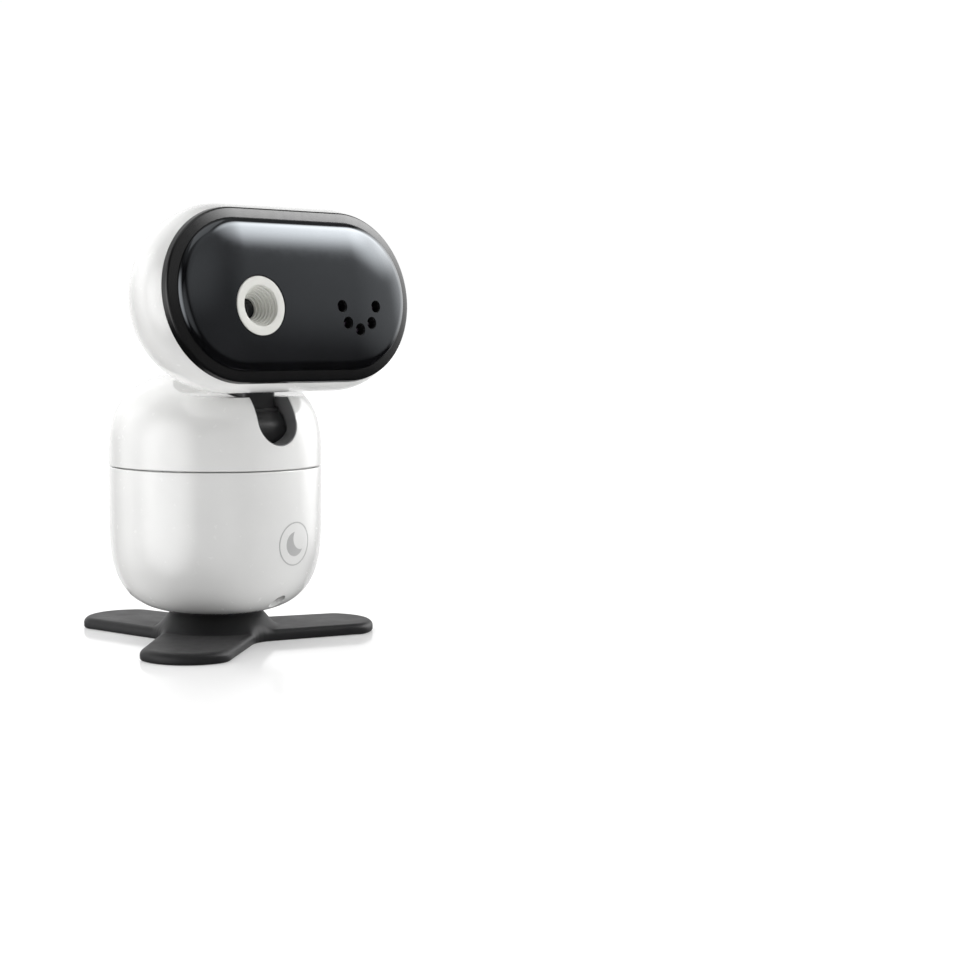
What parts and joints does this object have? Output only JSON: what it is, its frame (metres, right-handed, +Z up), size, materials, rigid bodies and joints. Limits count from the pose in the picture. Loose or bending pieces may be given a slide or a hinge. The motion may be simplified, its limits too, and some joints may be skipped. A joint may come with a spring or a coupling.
{
  "type": "baby monitor camera",
  "caption": "Pan and tilt nursery camera: white round body on a three-armed rubber stand, turning dome, and a wide rounded head with a glossy black face, ringed lens and night lamps.",
  "frame": {"origin": "on the pan axis at the underside of the stand, at the mouth of the tripod thread", "axes": "+Z up along the pan axis; the fixed body faces -Y; the dome and head are turned 10 degrees towards -X from -Y at rest"},
  "size_m": [0.103, 0.1038, 0.1378],
  "materials": {
    "white_shell": "high gloss injection moulded",
    "white_ring": "fine satin",
    "black_cover": "piano black gloss",
    "stand_rubber": "soft satin",
    "dark_plastic": "fine texture",
    "chassis_plastic": "fine texture",
    "button_plastic": "satin",
    "gear_plastic": "natural acetal",
    "steel": "zinc plated",
    "brass": "turned",
    "circuit_board": "solder mask",
    "lens_glass": "coated",
    "lamp_resin": "tinted clear",
    "light_pipe": "clear"
  },
  "bodies": {
    "base": {"stand_rubber": "stand_rubber", "stand_plate": "steel", "stand_insert": "brass", "lower_shell": "white_shell", "case_screws": "steel", "chassis": "chassis_plastic", "main_board": "circuit_board", "radio_module": "steel", "antenna": "dark_plastic", "speaker": "dark_plastic", "microphone": "steel", "power_socket": "dark_plastic", "socket_lugs": "brass", "temperature_sensor": "steel", "status_light": "light_pipe", "pair_switch": "steel", "power_switch": "steel", "pan_motor": "steel", "pan_bush": "brass"},
    "turret": {"upper_shell": "white_shell", "turntable": "chassis_plastic", "pan_gear": "gear_plastic", "pan_clip": "steel", "turret_screws": "steel", "slot_liner": "dark_plastic", "tilt_motor": "steel", "tilt_bushes": "brass"},
    "head": {"tilt_axle": "steel", "tilt_gear": "gear_plastic", "neck": "dark_plastic", "head_shell": "white_shell", "front_cover": "black_cover", "lens_ring": "white_ring", "lens_gasket": "dark_plastic", "lens_barrel": "dark_plastic", "lens_glass": "lens_glass", "sensor_board": "circuit_board", "lamp_board": "circuit_board", "infrared_lamps": "lamp_resin", "light_sensor": "lamp_resin", "neck_screws": "steel"},
    "pan_pinion": {"pan_pinion": "brass"},
    "tilt_pinion": {"tilt_pinion": "brass"},
    "pair_button": {"pair_button": "button_plastic"},
    "power_slider": {"power_slider": "dark_plastic"}
  },
  "joints": [
    {"name": "pan", "type": "hinge", "parent": "base", "child": "turret", "pos_m": [0, 0, 0.0563], "axis": [0, 0, 1], "range_deg": [-150, 170]},
    {"name": "tilt", "type": "hinge", "parent": "turret", "child": "head", "pos_m": [-0.00347, -0.0197, 0.068], "axis": [-0.9848, 0.1736, 0], "range_deg": [-35, 15]},
    {"name": "pan_pinion_spin", "type": "hinge", "parent": "base", "child": "pan_pinion", "pos_m": [0.01871, -0.0108, 0.0515], "axis": [0, 0, 1], "range_deg": [-860, 760]},
    {"name": "tilt_pinion_spin", "type": "hinge", "parent": "turret", "child": "tilt_pinion", "pos_m": [-0.00182, -0.01034, 0.068], "axis": [-0.9848, 0.1736, 0], "range_deg": [-43, 99]},
    {"name": "pair_button_press", "type": "slide", "parent": "base", "child": "pair_button", "axis": [0, -1, 0], "range_m": [0, 0.0005], "stiffness_N_per_m": 600},
    {"name": "power_slider_slide", "type": "slide", "parent": "base", "child": "power_slider", "axis": [-1, 0, 0], "range_m": [0, 0.003]}
  ],
  "couplings": [
    {"joint": "pan_pinion_spin", "follows": "pan", "ratio": -5},
    {"joint": "tilt_pinion_spin", "follows": "tilt", "ratio": -2.8}
  ]
}
